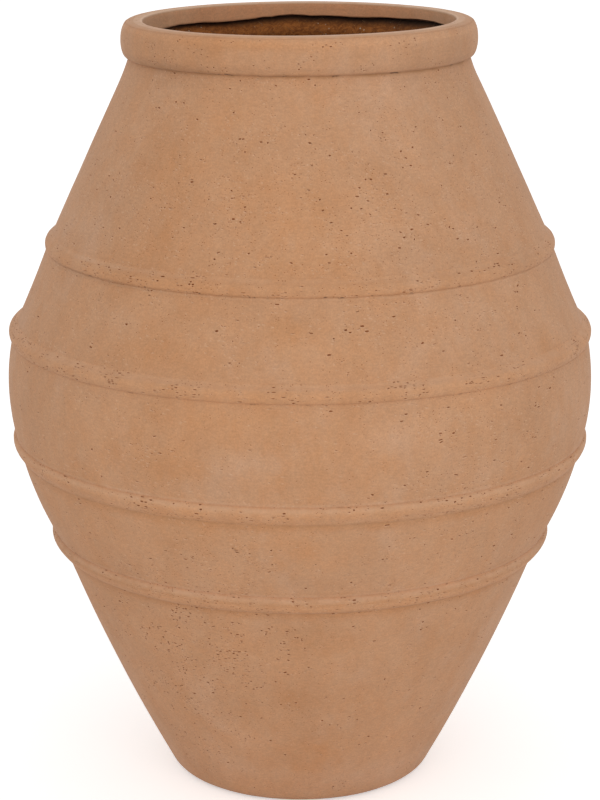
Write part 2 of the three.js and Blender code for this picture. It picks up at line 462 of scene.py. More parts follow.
def makePitTree():
    given = newTree("stampPits", "Geometry", pitInputs, [("Clay", "Geometry")])
    place, skin = position(), painted("skin")
    onSkin = calc("GREATER_THAN", skin, pits["skinFrom"])
    share = times(painted("pitShare"), given["Share"])
    wanted = times(share, times(field(place, *pits["clumps"]), skin))
    wanted = calc("MINIMUM", wanted, pits["mostFaces"])
    # wide and tall are the size of the face itself
    flat = vectorCalc("MULTIPLY", place, (1, 1, 0))
    halfTurn = calc("TANGENT", calc("DIVIDE", math.pi, given["Sides"]))
    wide = times(vectorCalc("LENGTH", flat, out=1), halfTurn, 2.0)
    roomy = times(onSkin, calc("GREATER_THAN", wide, pits["narrowestFace"]))
    chosen = times(calc("LESS_THAN", roll(given["Seed"]), wanted), roomy)
    cut = add("GeometryNodeSeparateGeometry",
              {"Geometry": given["Clay"], "Selection": chosen}, domain="FACE")
    normal = add("GeometryNodeInputNormal").outputs[0]
    tall = calc("DIVIDE", add("GeometryNodeInputMeshFaceArea"), wide)
    sideways = vectorCalc("CROSS_PRODUCT", (0, 0, 1), flat)
    keep = add("GeometryNodeCaptureAttribute", domain="FACE")
    keep.capture_items.new("ROTATION", "turn")
    keep.capture_items.new("VECTOR", "size")
    feed(keep, {
        "Geometry": cut, "size": vector(wide, tall, tall),
        "turn": add("FunctionNodeAxesToRotation", {0: normal, 1: sideways},
                    primary_axis="Z", secondary_axis="X")})
    spots = add("GeometryNodeMeshToPoints", {"Mesh": keep}, mode="FACES")
    rank = calc("POWER", roll(calc("ADD", given["Seed"], 7)),
                calc("DIVIDE", given["Smallness"], pits["growth"]))
    which = calc("FLOOR", times(rank, pits["stamps"] - 0.01))  # never the count itself
    pressed = scatter(spots, given["Stamps"], {
        "Instance Index": which, "Rotation": keep.outputs["turn"], "Scale": keep.outputs["size"]})
    real = add("GeometryNodeRealizeInstances", {"Geometry": pressed})
    merged = add("GeometryNodeMergeByDistance",
                 {"Geometry": join(real, cut.outputs["Inverted"]), "Distance": pits["weld"]})
    # a small slide along the surface takes the pits out of their rows and leaves the shape as it is
    around = vectorCalc("NORMALIZE", sideways)
    slide = times(swing(place, pits["slideScale"], 1.0), pits["slide"])
    surface = add("GeometryNodeSampleNearestSurface", data_type="FLOAT_VECTOR")
    feed(surface, {"Mesh": given["Clay"], "Value": normal, "Sample Position": place})
    upwards = vectorCalc("CROSS_PRODUCT", surface, around)
    elsewhere = vectorCalc("ADD", place, pits["climbAt"])
    climb = times(swing(elsewhere, pits["climbScale"], 1.0), given["Drift"], onSkin)
    offset = vectorCalc("ADD", vectorCalc("SCALE", around, slide),
                        vectorCalc("SCALE", upwards, climb))
    return finishTree({"Clay": moved(merged, offset)})


pitTree = makePitTree()

# Slow waver of hand-finished clay: the same field for every piece, so that neighbours stay together
waver = {  # the rim's rise, nod, lean, twist, oval and shift are in mm
    "broad": 0.45 * mm, "broadScale": 11.0, "fine": 0.1 * mm, "fineScale": 55.0, "girth": 0.26,
    "rim": 0.3 * mm, "rimScale": 1.3, "rimFrom": (0.710, 0.735), "rimRise": 0.67, "rimNod": -1.64,
    "rimLean": 1.0, "rimTwist": -0.3, "rimOval": 0.23, "rimShift": -0.7, "shiftFrom": (0.69, 0.725),
    "tornScale": 2.3, "frayScale": 14.0, "fray": 0.8,
}


def makeWaverTree():
    given = newTree(
        "waverClay", "Geometry",
        [("Clay", "Geometry"), ("Broad", "Float", waver["broad"]), ("Fine", "Float", waver["fine"]),
         ("Rim", "Float", waver["rim"]), ("Lip", "Float", 0.0)],
        [("Clay", "Geometry")])
    place = position()
    height = axes(place)[2]
    outward = vectorCalc("NORMALIZE", vectorCalc("MULTIPLY", place, (1, 1, 0)))
    side, back = axes(outward)[:2]
    spot = vectorCalc("ADD", vectorCalc("SCALE", outward, waver["girth"]),
                      vectorCalc("MULTIPLY", place, (0, 0, 1)))
    broad = times(swing(spot, waver["broadScale"]), given["Broad"])
    fine = times(swing(spot, waver["fineScale"]), given["Fine"])
    sideways = vectorCalc("SCALE", outward, times(calc("ADD", broad, fine), 2.0))
    # the rim rises and leans as a whole, and its lip hangs lower in some places
    oval = calc("SUBTRACT", times(back, back), times(side, side))
    level = calc("MULTIPLY_ADD", back, waver["rimNod"] * mm, waver["rimRise"] * mm)
    lean = calc("MULTIPLY_ADD", back, waver["rimTwist"] * mm, waver["rimLean"] * mm)
    level = calc("MULTIPLY_ADD", side, lean, level)
    level = calc("MULTIPLY_ADD", oval, waver["rimOval"] * mm, level)
    tilt = swing(outward, waver["rimScale"], 1.0)
    rise = calc("MULTIPLY_ADD", tilt, times(given["Rim"], 2.0), level)
    rise = times(rise, ramp(height, *waver["rimFrom"]))
    torn = calc("ADD", swing(outward, waver["tornScale"]),
                times(swing(outward, waver["frayScale"], 4.0, 0.7), waver["fray"]))
    hang = calc("MULTIPLY_ADD", times(torn, given["Lip"]), painted("lip"), painted("hang"))
    aside = times(ramp(height, *waver["shiftFrom"]), waver["rimShift"] * mm)
    lift = vector(aside, z=calc("ADD", rise, hang))
    return finishTree({"Clay": moved(given["Clay"], vectorCalc("ADD", sideways, lift))})


waverTree = makeWaverTree()


def makeClayTree():
    given = newTree("dressClay", "Geometry", pitInputs + [("Lip", "Float", 0.0), ("Finish", "Material")],
                    [("Clay", "Geometry")])
    pitted = add("GeometryNodeGroup", node_tree=pitTree)
    feed(pitted, {row[0]: given[row[0]] for row in pitInputs})
    wavy = add("GeometryNodeGroup", node_tree=waverTree)
    feed(wavy, {"Clay": pitted, "Lip": given["Lip"]})
    smooth = smoothed(wavy, pits["crispFrom"])
    return finishTree({"Clay": coated(smooth, given["Finish"])})


clayTree = makeClayTree()


# The clay's colours, and the noise fields over them: scale, detail and roughness, the range that is
# read, and what it gives. An "At" is where a field is read, and a "By" how the place is stretched first.
clay = {
    "base": (0.551, 0.289, 0.1505), "warm": (0.530, 0.256, 0.1165), "pale": (0.588, 0.337, 0.202),
    # Painted light among these colours: the dark ones for pits, creases, cracks, grooves and the lip's
    # underside are painted shade, and the pale edge colour is painted highlight
    "pit": (0.24, 0.063, 0.005, 1), "crease": (0.36, 0.178, 0.072, 1), "edge": (0.70, 0.45, 0.295, 1),
    "inside": (0.67, 0.32, 0.16, 1), "insideEnd": (0.645, 0.348, 0.188, 1), "insideEnds": (0.085, 0.145),
    "crack": (0.09, 0.04, 0.022, 1), "crackReach": (0.3 * mm, 1.1 * mm), "paintedShade": (0.30, 0.125, 0.05, 1),
    "mildCast": (1, 0.975, 0.945, 1), "coolCast": (1, 1.025, 1.055, 1),
    "insideAmount": (0.0, 1.0, 1.0, 0.3), "cloudBy": (1, 1, 0.65), "streakBy": (1, 1, 2.6),
    "dashesBy": (1, 1, 0.3), "crackedBy": (1, 1, 0.2),
    "bloomAt": (3.1, 1.7, 0.6), "castAt": (5.2, 0.4, 3.3), "toneAt": (1.3, 4.2, 2.6),
    "cloud": (22.0, 5.0, 0.68, 0.42, 0.74, 0.0, 0.7), "bloom": (18.0, 5.0, 0.68, 0.45, 0.75, 0.0, 0.6),
    "tone": (24.0, 4.0, 0.6, 0.25, 0.75, 0.96, 1.04), "cast": (75.0, 4.0, 0.6, 0.3, 0.7),
    "speckle": (620.0, 3.0, 0.7, 0.2, 0.8, 0.885, 1.1), "streak": (190.0, 3.0, 0.6, 0.2, 0.8, 0.935, 1.065),
    "wander": (70.0, 2.0, 0.5, 0.2, 0.8, -0.8 * mm, 0.8 * mm), "patchy": (60.0, 4.0, 0.6, 0.3, 0.65, 0.5),
    "dashes": (42.0, 3.0, 0.6, 0.3, 0.62, 0.45, 1.3), "cracked": (75.0, 3.0, 0.6, 0.6, 0.66),
    "pitDark": 0.95, "roughness": 0.9, "sheen": 0.06, "bump": 0.35, "bumpHeight": 0.3 * mm,
}


def makeMottleGroup():
    grey = (0.5, 0.5, 0.5, 1)
    given = newTree("clayMottle", "Shader", [("Base", "Color", grey), ("Warm", "Color", grey),
                                             ("Pale", "Color", grey), ("Amount", "Float", 1.0)],
                    [("Color", "Color")])
    place = position()
    drawn = vectorCalc("MULTIPLY", place, clay["cloudBy"])

    def cloudy(name):
        return field(vectorCalc("ADD", drawn, clay[name + "At"]), *clay[name])

    # the stain layer warms or pales the colour: mostly the clay's own, with a few rows of painted shade and
    # painted highlight
    stain = painted("stain")
    warmth = calc("ADD", field(drawn, *clay["cloud"]), stain)
    colour = mixColour(times(warmth, given["Amount"], clamp=True), given["Base"], given["Warm"])
    bloom = calc("SUBTRACT", cloudy("bloom"), stain)
    colour = mixColour(times(bloom, given["Amount"], clamp=True), colour, given["Pale"])
    # blue drifts a little on its own, green half as much
    cast = mixColour(cloudy("cast"), clay["mildCast"], clay["coolCast"])
    colour = mixColour(1.0, colour, cast, "MULTIPLY")
    # the painted tone is partly the clay's own and partly painted light and shade
    tone = times(cloudy("tone"), painted("tone"))
    speckle = field(place, *clay["speckle"])
    streak = field(vectorCalc("MULTIPLY", place, clay["streakBy"]), *clay["streak"])
    shade = times(speckle, streak, tone)
    return finishTree({"Color": mixColour(1.0, colour, vector(shade, shade, shade), "MULTIPLY")})


def dotted(place, scale, edge, strength, limit):
    # round dots in the cells whose own random value is over the limit, and a second random value
    cells = add("ShaderNodeTexVoronoi", {"Vector": place, "Scale": scale}, feature="F1")
    pick, other = add("ShaderNodeSeparateColor", {0: cells.outputs["Color"]}).outputs[:2]
    dots = ramp(cells.outputs["Distance"], *edge, strength, 0.0)
    return times(dots, calc("GREATER_THAN", pick, limit)), other


# Fine grain of the surface, and pits too small for the mesh
grains = {
    "fine": (900.0, 4.0, 0.65), "ripple": (140.0, 2.0, 0.5), "rippleShare": 0.65,
    "crowd": (65.0, 3.0, 0.6), "crowdByPits": 0.07, "limit": (0.46, 0.61, 0.985, 0.22),
    "dotScale": 330.0, "dotEdge": (0.12, 0.24), "dotHigh": 1.6, "dotStrength": (0.3, 0.95), "dotDepth": 0.8,
    # dark is the painted shade of the micro pits, and light the painted highlight under each
    "underDot": 1.1 * mm, "light": 0.2, "dark": 0.8,
}


def makeGrainGroup():
    given = newTree("clayGrain", "Shader", [("Micro Pits", "Float", 1.0)],
                    [("Height", "Float"), ("Dark", "Float"), ("Light", "Float")])
    place = position()
    gather = calc("SUBTRACT", painted("pitShare"), 1.0)
    crowd = calc("MULTIPLY_ADD", gather, grains["crowdByPits"], noise(place, *grains["crowd"]))
    limit = ramp(crowd, *grains["limit"])
    least, more = grains["dotStrength"]
    marks = []
    # the second field is the first one moved down, so that each dot has a painted highlight under it
    for shift in (0.0, grains["underDot"]):
        spot = vectorCalc("MULTIPLY", vectorCalc("ADD", place, (0, 0, shift)),
                          (1, 1, grains["dotHigh"]))
        dots, strength = dotted(spot, grains["dotScale"], grains["dotEdge"], 1.0, limit)
        marks.append(times(dots, calc("MULTIPLY_ADD", strength, more, least), given["Micro Pits"]))
    share = grains["rippleShare"]
    ripple = times(noise(place, *grains["ripple"]), share)
    rough = calc("MULTIPLY_ADD", noise(place, *grains["fine"]), 1 - share, ripple)
    height = calc("MULTIPLY_ADD", marks[0], -grains["dotDepth"], rough)
    return finishTree({"Height": height, "Dark": marks[0], "Light": marks[1]})


mottleGroup = makeMottleGroup()
grainGroup = makeGrainGroup()


def newMaterial(name):
    material = begin(bpy.data.materials.new(name))
    shader = add("ShaderNodeBsdfPrincipled")
    add("ShaderNodeOutputMaterial", {"Surface": shader})
    return material, shader


def bump(height, strength, distance):
    return add("ShaderNodeBump", {"Height": height, "Strength": strength, "Distance": distance})


# Painted shade in the creases under the bands and in their small cracks, and with a minus painted highlight
# on the paler strips over them: height, reach, amount, cracks
creaseLines = [
    (728.7, 3.4, 0.55, 0.85), (541.2, 2.4, 0.24, 0.8), (451.6, 2.6, 0.09, 0.35), (336.2, 3.2, 0.27, 0.2),
    (238.6, 3.0, 0.34, 0.2), (257.4, 3.0, -0.2, 0.0), (356.2, 3.0, -0.2, 0.0), (539.2, 1.6, -0.1, 0.0),
]


def creased(colour, place, height):
    level = calc("ADD", height, field(place, *clay["wander"]))
    dashes = field(vectorCalc("MULTIPLY", place, clay["dashesBy"]), *clay["dashes"])
    cracked = field(vectorCalc("MULTIPLY", place, clay["crackedBy"]), *clay["cracked"])
    for z, reach, amount, cracks in creaseLines:
        off = calc("ABSOLUTE", calc("SUBTRACT", level, z * mm))
        near = times(ramp(off, 0.0, reach * mm, abs(amount), 0.0), dashes)
        colour = mixColour(near, colour, clay["crease" if amount > 0 else "edge"])
        if cracks:
            split = times(ramp(off, *clay["crackReach"], cracks, 0.0), cracked)
            colour = mixColour(split, colour, clay["crack"])
    return colour


def makeClay(name, microPits=1.0, tint=1.0):
    material, shader = newMaterial(name)
    place = position()
    sideways, height = axes(place)[::2]
    inside = painted("inside")
    ends = ramp(calc("ABSOLUTE", sideways), *clay["insideEnds"])
    base, warm, pale = (tuple(part * tint for part in clay[key]) + (1,) for key in ("base", "warm", "pale"))
    base = mixColour(inside, base, mixColour(ends, clay["inside"], clay["insideEnd"]))
    colour = add("ShaderNodeGroup", node_tree=mottleGroup)
    feed(colour, {"Base": base, "Warm": warm, "Pale": pale, "Amount": ramp(inside, *clay["insideAmount"])})
    # painted shade in the creases and painted highlight on the strips over the bands
    colour = creased(colour, place, height)
    # painted highlight makes edges pale, and below zero the same layer is painted shade in grooves and
    # under edges
    wear, patchy = painted("wear"), field(place, *clay["patchy"])
    colour = mixColour(times(wear, patchy, clamp=True), colour, clay["edge"])
    paintedShade = times(times(wear, -1.0), patchy, clamp=True)
    colour = mixColour(paintedShade, colour, clay["paintedShade"])
    # painted shade in the pits and micro pits, and painted highlight on the pits' lower brims and under the
    # micro pits
    pit = painted("pit")
    grain = add("ShaderNodeGroup", {"Micro Pits": microPits}, node_tree=grainGroup)
    brim = calc("MAXIMUM", times(pit, -1.0, clamp=True),
                times(grain.outputs["Light"], grains["light"], clamp=True))
    colour = mixColour(brim, colour, clay["edge"])
    sunk = calc("MAXIMUM", times(pit, clay["pitDark"], clamp=True),
                times(grain.outputs["Dark"], grains["dark"]))
    feed(shader, {
        "Base Color": mixColour(sunk, colour, clay["pit"]), "Roughness": clay["roughness"],
        "Sheen Weight": clay["sheen"],
        "Normal": bump(grain.outputs["Height"], clay["bump"], clay["bumpHeight"])})
    return material


# How far the lip's edge hangs below the rim's top: degrees from the far side, + to the right, and mm
lipEdge = [
    (-180, 15.2), (-150, 14.4), (-120, 16), (-90, 16.6), (-70, 17.6), (-59, 17.1), (-52, 16.2),
    (-45, 16.6), (-39, 16.5), (-34, 17.7), (-28, 17.7), (-22, 16.9), (-17, 15.8), (-14, 14.7),
    (-11, 14.7), (-8, 13.7), (-3, 12.7), (0, 13.2), (4, 14.2), (10, 13.9), (16, 14.2), (20, 14.8),
    (27, 14.7), (30, 13.9), (33, 13.3), (44, 13.2), (50, 12.5), (56, 11.1), (61, 12), (66, 12.9),
    (90, 14.2), (120, 15.8), (150, 14.4), (180, 15.2),
]
# Where pits gather: azimuth, height, reach across (degrees), reach up, times the usual share
pitDabs = [
    (-50, 742, 7, 10, 6), (4, 752, 4, 8, 2), (15, 733, 8, 4, 3), (-35, 733, 12, 4, 4),
    (-12, 645, 12, 50, 1.4), (20, 618, 11, 34, 1.6), (-48, 610, 9, 28, 1), (25, 510, 13, 22, 2),
    (0, 612, 400, 60, 0.8), (-19, 606, 9, 24, 2), (19, 588, 9, 30, 2.6), (-33, 604, 8, 24, 2.4),
    (6, 682, 7, 24, -0.8), (-45, 510, 10, 20, 1), (40, 405, 18, 45, 0.9), (-31, 400, 6, 10, 3),
    (29, 432, 7, 16, 3), (30, 373, 7, 14, 3.2), (-13, 287, 10, 30, 2.6), (-36, 268, 9, 14, 2.6),
    (37, 300, 7, 14, 1.5), (-24, 165, 12, 70, 6), (-40, 130, 12, 60, 3.4), (0, 405, 70, 45, -0.5),
    (0, 390, 16, 40, -0.4), (8, 300, 7, 40, -0.8), (-25, 280, 10, 14, 1.8), (32, 130, 26, 110, -0.75),
    (0, 50, 60, 34, -0.7), (-56, 549, 12, 14, -0.6), (0, 240, 400, 4, 1.2), (0, 338.5, 400, 4, 1.2),
    (56, 552, 10, 12, -0.6), (0, 500, 60, 30, -0.4), (120, 620, 20, 50, 2.2), (170, 580, 14, 40, 2.4),
    (-110, 640, 18, 40, 2), (95, 400, 16, 40, 2), (150, 300, 18, 30, 2.4), (-150, 420, 16, 40, 2.2),
    (-100, 160, 18, 60, 3), (110, 140, 16, 60, 2.6), (-170, 200, 14, 50, 2.4), (-140, 520, 16, 24, 2),
    (80, 260, 12, 20, 2),
]
# Warmer patches of clay, and with a minus the greyer ones. The two rows round the jar at the creases under
# the foot and belly bands are painted shade, and the thin strip on the neck band's top edge on the left is
# a painted highlight.
stainsAndShading = [
    (0, 236, 400, 4.5, 0.8), (0, 333.5, 400, 4, 0.7), (32, 28, 26, 20, -0.7), (-58, 745, 12, 20, 0.4),
    (-62, 300, 20, 120, 0.5), (62, 320, 16, 60, 0.4), (-24, 610, 20, 110, 0.3), (24, 600, 18, 130, -0.1),
    (-37, 745, 12, 20, 0.45), (-46, 554.3, 20, 1.7, -0.6), (-20, 757, 22, 5, 1.1),
    (-30, 548, 16, 12, 0.3), (-36, 500, 14, 30, 0.25), (36, 690, 14, 40, -0.25),
    (-50, 200, 18, 100, 0.25), (14, 415, 8, 14, -0.4), (32, 715, 14, 16, -0.4), (-37, 647, 9, 24, 0.5),
    (2, 622, 10, 26, 0.5), (-34, 570, 9, 18, 0.5), (4, 562, 10, 16, 0.45), (-34, 482, 7, 16, 0.4),
    (-20, 482, 7, 14, 0.4), (-2, 512, 7, 14, 0.4), (13, 490, 7, 14, 0.35), (-19, 432, 12, 24, 0.6),
    (-26, 390, 7, 14, 0.6), (0, 380, 8, 16, 0.4), (9, 410, 8, 16, 0.35), (-19, 332, 9, 16, 0.4),
    (1, 307, 9, 18, 0.4), (-1, 200, 12, 26, 0.4), (-1, 132, 12, 26, 0.4), (3, 67, 14, 20, 0.4),
    (-40, 512, 8, 18, -0.4), (-10, 395, 6, 12, -0.4), (95, 600, 12, 30, 0.5), (140, 420, 14, 30, 0.5),
    (-120, 480, 12, 26, 0.5), (-160, 300, 14, 30, 0.5), (170, 180, 16, 40, 0.4), (-95, 380, 12, 26, 0.45),
    (70, 280, 10, 20, 0.4),
]
# Lighter patches, and with a minus the duller ones: partly the clay's own tone, and partly painted light
# and shade, such as the rows along the bands and creases, the rim's darker sides and the lighter bottom
tonesAndShading = [
    (0, 733.5, 400, 3.2, -0.07), (-46, 729.5, 18, 4.5, -0.16), (0, 251, 400, 4, -0.08),
    (0, 245.5, 400, 3, 0.06), (0, 347, 400, 3, 0.02), (0, 236, 400, 3.5, -0.025),
    (0, 333.5, 400, 3.5, -0.02), (0, 553.5, 400, 4.5, -0.03), (0, 545.5, 400, 2, -0.03),
    (-52, 540.2, 16, 2, -0.17), (-28, 539.8, 20, 2.2, -0.08), (0, 455.5, 400, 2, -0.04),
    (0, 15, 400, 40, 0.03), (0, 150, 400, 200, -0.018), (-32, 645, 9, 24, 0.04), (-8, 605, 11, 36, 0.035),
    (-38, 572, 8, 14, 0.045), (-50, 595, 8, 16, -0.06), (-16, 433, 13, 20, 0.04), (32, 445, 8, 14, 0.035),
    (4, 408, 9, 18, 0.035), (-16, 370, 7, 10, -0.06), (-8, 318, 6, 14, 0.04), (4, 271, 9, 12, -0.06),
    (-45, 196, 8, 18, 0.055), (44, 196, 8, 18, 0.03), (20, 132, 8, 22, 0.055), (48, 128, 8, 20, 0.04),
    (-48, 95, 8, 16, 0.05), (58, 72, 8, 16, 0.05), (-50, 720, 12, 12, -0.05), (42, 722, 18, 9, -0.05),
    (20, 700, 10, 16, -0.04), (-18, 695, 12, 22, 0.03), (-60, 745, 16, 20, -0.06),
    (62, 745, 14, 20, -0.07), (56, 548, 10, 10, -0.07), (0, 745, 30, 12, -0.04), (14, 755, 18, 6, 0.04),
    (0, 758, 400, 2.2, 0.08), (0, 762, 50, 2.4, 0.07), (-40, 742, 16, 14, -0.03),
    (46, 742, 18, 14, -0.085), (-42, 630, 18, 90, -0.04), (44, 650, 14, 60, -0.03),
    (28, 570, 9, 18, -0.04), (-30, 560, 12, 16, -0.03), (-42, 470, 18, 12, -0.05), (20, 425, 8, 14, 0.05),
    (47, 415, 8, 20, -0.05), (-60, 410, 10, 40, -0.05), (-50, 345, 14, 12, -0.05),
    (52, 345, 10, 12, -0.05), (-50, 245, 18, 12, -0.06), (0, 210, 8, 22, -0.03), (0, 110, 8, 50, -0.04),
    (-20, 82, 12, 25, 0.05), (36, 70, 11, 32, 0.06), (36, 270, 8, 14, 0.05), (100, 640, 14, 40, -0.05),
    (150, 560, 12, 26, 0.05), (-140, 620, 14, 40, -0.04), (120, 400, 12, 24, 0.04),
    (-110, 430, 14, 30, -0.05), (-40, 719, 10, 10, -0.05), (-58, 570, 8, 14, -0.07),
    (-46, 495, 9, 12, -0.035), (-43, 445, 8, 11, -0.035), (58, 383, 8, 26, -0.045),
    (8, 588, 7, 20, 0.045), (5, 331, 8, 17, -0.035), (24, 243, 7, 12, 0.035), (-39, 188, 6, 16, 0.035),
    (60, 700, 9, 34, -0.045), (9, 94, 7, 12, -0.03), (170, 330, 14, 26, -0.04), (-160, 210, 14, 40, 0.04),
    (100, 180, 14, 50, -0.04), (-100, 90, 14, 30, 0.05),
]


def hangLip(mesh):
    fromFar = (polar(mesh)[0] + 360) % 360 - 180
    depths = np.interp(-fromFar, *np.array(lipEdge).T)
    weights = np.zeros(len(mesh.vertices), np.float32)
    mesh.attributes["lip"].data.foreach_get("value", weights)
    store(mesh, "hang", weights * (rim["lipDepth"] - depths) * mm)


def settle(piece, node, body):
    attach(piece, body)
    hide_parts(node)
    count = sum(len(side.vertices) - 2 for side in piece.data.polygons)
    print("made", piece.name, count, "triangles")


def dress(node, outline, finish, slotName, share, smallness, seed, sides=wall["sides"], lip=0.0, warm=0.0,
          drift=0.0, **others):
    # the others are values of the piece that only its outline reads
    piece = turned("clay_" + node, outline, sides, finish)
    paint(piece.data, "pitShare", pitDabs, 1.0)
    if lip:
        hangLip(piece.data)
    runTree(piece, clayTree, {"Sides": sides, "Share": share, "Smallness": smallness, "Stamps": pitStamps,
                              "Seed": seed, "Drift": drift, "Lip": lip, "Finish": finish})
    paint(piece.data, "stain", stainsAndShading, warm)
    paint(piece.data, "tone", tonesAndShading, 1.0)
    settle(piece, node, "jar")


# Wall rings, one between each two ends of the wall: how many pits each takes, and how small they are
rings = {
    "foot_wall": {"share": 0.039, "seed": 11, "smallness": 0.75},
    "lower_belly_wall": {"share": 0.048, "seed": 12, "smallness": 2.1},
    "belly_wall": {"share": 0.078, "seed": 13, "smallness": 4.6},
    "shoulder_wall": {"share": 0.080, "seed": 14, "smallness": 5.2},
    "neck_wall": {"share": 0.080, "seed": 15, "smallness": 5.1},
}


def ringOutline(low, high):
    half, play, lap, hidden = wall["thickness"] / 2, wall["play"], wall["lap"], wall["hiddenStep"]
    tongueTop, socketTop = high + lap, low + lap + 2 * play
    points = face(0, low, high, wall["rowStep"], 1.0)
    for end in (0, -1):
        points[end] = points[end][:2] + (0.9,)
    points += [(radiusAt(high, half + play), high, 0), (radiusAt(tongueTop, half + play), tongueTop, 0)]
    if low == wall["ends"][0][1]:
        return points + face(wall["thickness"], tongueTop, low, hidden)
    points += face(wall["thickness"], tongueTop, socketTop, hidden)
    return points + [(radiusAt(socketTop, half - play), socketTop, 0), (radiusAt(low, half - play), low, 0)]


wallClay = makeClay("wallClay")
seams = [height for radius, height in wall["ends"]]
for (name, ring), low, high in zip(rings.items(), seams, seams[1:]):
    dress(name, ringOutline(low, high), wallClay, "clay", drift=wall["drift"], **ring)


# Rolled bands: how the face of each stands out of the seam, from its lower edge to its upper one, as
# distance up the wall and out of it, times the usual share of pits, and painted highlight along the top
# edge above zero and painted shade along the lower edge below zero
bands = {
    "foot_band": {
        "seam": 247.0, "roll": 13.8, "share": 0.3, "smallness": 1.6, "seed": 21, "warm": 0.5,
        "face": [(-10.9, -0.9, 1, 0), (-10.6, 0.2, 2.4, -0.1), (-9.0, 1.9, 3, -0.05), (-6.4, 3.8, 2.6, 0),
                 (-3.2, 5.2, 1.4, 0), (0, 6.0, 1, 0), (2.8, 6.5, 1.2, 0), (5.8, 6.5, 1.4, 0),
                 (8.4, 5.6, 1.6, 0.3), (9.8, 3.6, 1.4, 0.5), (10.6, 0.8, 1, 0.2), (11.0, -1.2, 1, 0)],
    },
    "belly_band": {
        "seam": 344.5, "roll": 12.5, "share": 0.085, "smallness": 0.55, "seed": 22, "warm": 0.25,
        "face": [(-10.3, -1.9, 1, 0), (-10.0, -0.8, 2.2, -0.1), (-8.6, 0.2, 3, -0.05), (-6.0, 1.4, 2.6, 0),
                 (-3.0, 2.8, 1.2, 0), (0, 3.9, 1.4, 0), (2.6, 4.4, 1.8, 0), (5.4, 4.4, 1.8, 0.1),
                 (8.0, 3.8, 1.8, 0.3), (9.7, 2.4, 1.2, 0.35), (10.5, 0.4, 1, 0.1), (10.9, -1.6, 1, 0)],
    },
    "shoulder_band": {
        "seam": 459.5, "roll": 7.7, "share": 0.092, "smallness": 0.3, "seed": 23, "warm": 0.2,
        "face": [(-8.2, -1.6, 1, 0), (-8.3, -0.5, 3, -0.1), (-7.8, 0.8, 4, -0.05), (-6.2, 2.3, 3, 0),
                 (-4.0, 3.8, 1.6, 0), (-1.2, 4.9, 1.2, 0), (1.8, 4.8, 1, 0.05), (4.2, 3.4, 1, 0.2),
                 (6.2, 1.5, 1, 0.2), (8.0, 0.2, 1, 0.2), (9.6, -0.5, 1, 0.1), (10.6, -1.3, 1, 0)],
    },
    "neck_band": {
        "seam": 547.5, "roll": 8.0, "share": 0.06, "smallness": 0.45, "seed": 24, "warm": 0.25,
        "face": [(-7.2, -1.2, 1, 0), (-7.4, -0.2, 4.5, -0.1), (-7.0, 0.8, 6, -0.05), (-5.6, 2.1, 4.4, 0),
                 (-3.4, 3.3, 2.4, 0), (-0.8, 3.95, 1.4, 0), (1.6, 3.8, 1.2, 0.05), (4.0, 2.7, 1.2, 0.05),
                 (6.2, 1.3, 1, 0.12), (8.2, 0.4, 1, 0.15), (10.0, -0.05, 1, 0.1), (11.2, -0.8, 1, 0)],
    },
}
bandBuild = {"step": 1.8, "sunk": 1.5, "backRows": (0.75, 0.5, 0.25)}


def bandOutline(band):
    seam, roll = band["seam"], band["roll"]
    lean = math.atan2(radiusAt(seam - roll) - radiusAt(seam + roll), 2 * roll)
    along, out = (-math.sin(lean), math.cos(lean)), (math.cos(lean), math.sin(lean))
    front = []
    for up, proud, pitted, wear in smoothLine(band["face"], bandBuild["step"]):
        front.append((radiusAt(seam) + up * along[0] + proud * out[0],
                      seam + up * along[1] + proud * out[1], max(1.0, pitted), 0.0, wear))
    for end in (0, -1):
        front[end] = front[end][:2] + (0.0,)
    back = [between(front[0], front[-1], t) for t in bandBuild["backRows"]]
    return front + [(radius - bandBuild["sunk"], height) for radius, height in back]


bandClay = makeClay("bandClay", microPits=1.5, tint=1.055)
for name, band in bands.items():
    dress(name, bandOutline(band), bandClay, "band_clay", **band)


# Collar rim with its flat land and the lip that hangs inside
rim = {
    "sides": 480, "step": 1.6, "landStep": 2.0, "share": 0.024, "smallness": 0.4, "seed": 31,
    "mouth": 151.5, "top": 761.9, "lipDepth": 15.0, "lip": 1.3 * mm, "seat": (158.6, 726.9, 0.0),
    "outside": [(164.2, 726.8), (166.7, 727.1), (168.9, 728.1), (170.4, 730), (171.5, 732.7), (172.3, 736),
                (172.8, 739.5), (172.9, 744), (172.6, 748.6), (171.9, 752.6), (170.8, 756), (169.6, 758.5),
                (168.7, 759.7)],
    "groove": [(168.2, 760.05, -0.05), (167.9, 759.95, -0.22), (167.5, 760.15, -0.22), (167.0, 760.8, 0.0)],
    # out from the mouth and up from the lip's edge: skin, lip, painted highlight above zero and painted
    # shade below it, and inside; under the lip's edge it is painted shade
    "lipUnder": [(0, 1.7, 0.0, 0.7, 0.0, 1.0), (0, 0.9, 0.0, 0.9, -0.5, 1.0), (0.2, 0.3, 0.0, 1.0, -1.0),
                 (0.8, -0.1, 0.0, 1.0, -1.0), (3, 0.2, 0.0, 0.8, -1.0), (7, 0.2, 0.0, 0.2, -1.0)],
    "lipBack": [(163.2, 746.9, 0.0), (163.2, 741.3, 0.0), (158.6, 736.0, 0.0)],
}


